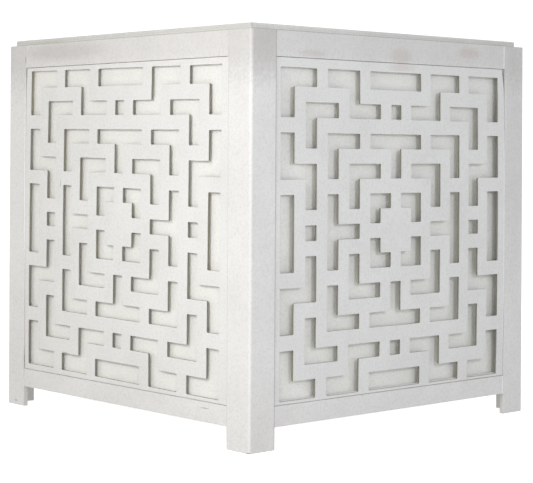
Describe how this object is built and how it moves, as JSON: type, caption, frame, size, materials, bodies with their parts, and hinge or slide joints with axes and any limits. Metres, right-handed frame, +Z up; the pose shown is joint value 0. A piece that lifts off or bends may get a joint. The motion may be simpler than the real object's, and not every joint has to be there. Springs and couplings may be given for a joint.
{
  "type": "fretwork planter",
  "caption": "Square floor planter: white painted stand with a lattice fretwork panel in each side, short feet, and a lift-out liner box.",
  "frame": {"origin": "on the floor, under the middle of the stand", "axes": "+Z up, -Y the front side, +X the right side; all four sides are alike"},
  "size_m": [0.5, 0.5, 0.5016],
  "materials": {
    "stand_paint": "satin white paint",
    "fretwork_paint": "satin white paint",
    "liner_paint": "satin ivory paint",
    "bearer_wood": "satin white paint",
    "brad_steel": "zinc plated"
  },
  "bodies": {
    "stand": {"bearer_back": "bearer_wood", "bearer_brads": "brad_steel", "bearer_front": "bearer_wood", "bearer_left": "bearer_wood", "bearer_right": "bearer_wood", "bottom_rail_back": "stand_paint", "bottom_rail_front": "stand_paint", "bottom_rail_left": "stand_paint", "bottom_rail_right": "stand_paint", "fret_panel_back": "fretwork_paint", "fret_panel_front": "fretwork_paint", "fret_panel_left": "fretwork_paint", "fret_panel_right": "fretwork_paint", "post_back_left": "stand_paint", "post_back_right": "stand_paint", "post_front_left": "stand_paint", "post_front_right": "stand_paint", "top_rail_back": "stand_paint", "top_rail_front": "stand_paint", "top_rail_left": "stand_paint", "top_rail_right": "stand_paint"},
    "liner": {"liner_corner_block_back_left": "liner_paint", "liner_corner_block_back_right": "liner_paint", "liner_corner_block_front_left": "liner_paint", "liner_corner_block_front_right": "liner_paint", "liner_floor": "liner_paint", "liner_wall_back": "liner_paint", "liner_wall_front": "liner_paint", "liner_wall_left": "liner_paint", "liner_wall_right": "liner_paint"}
  },
  "joints": [
    {"name": "liner_lift", "type": "slide", "parent": "stand", "child": "liner", "axis": [0, 0, 1], "range_m": [0, 0.46]}
  ]
}
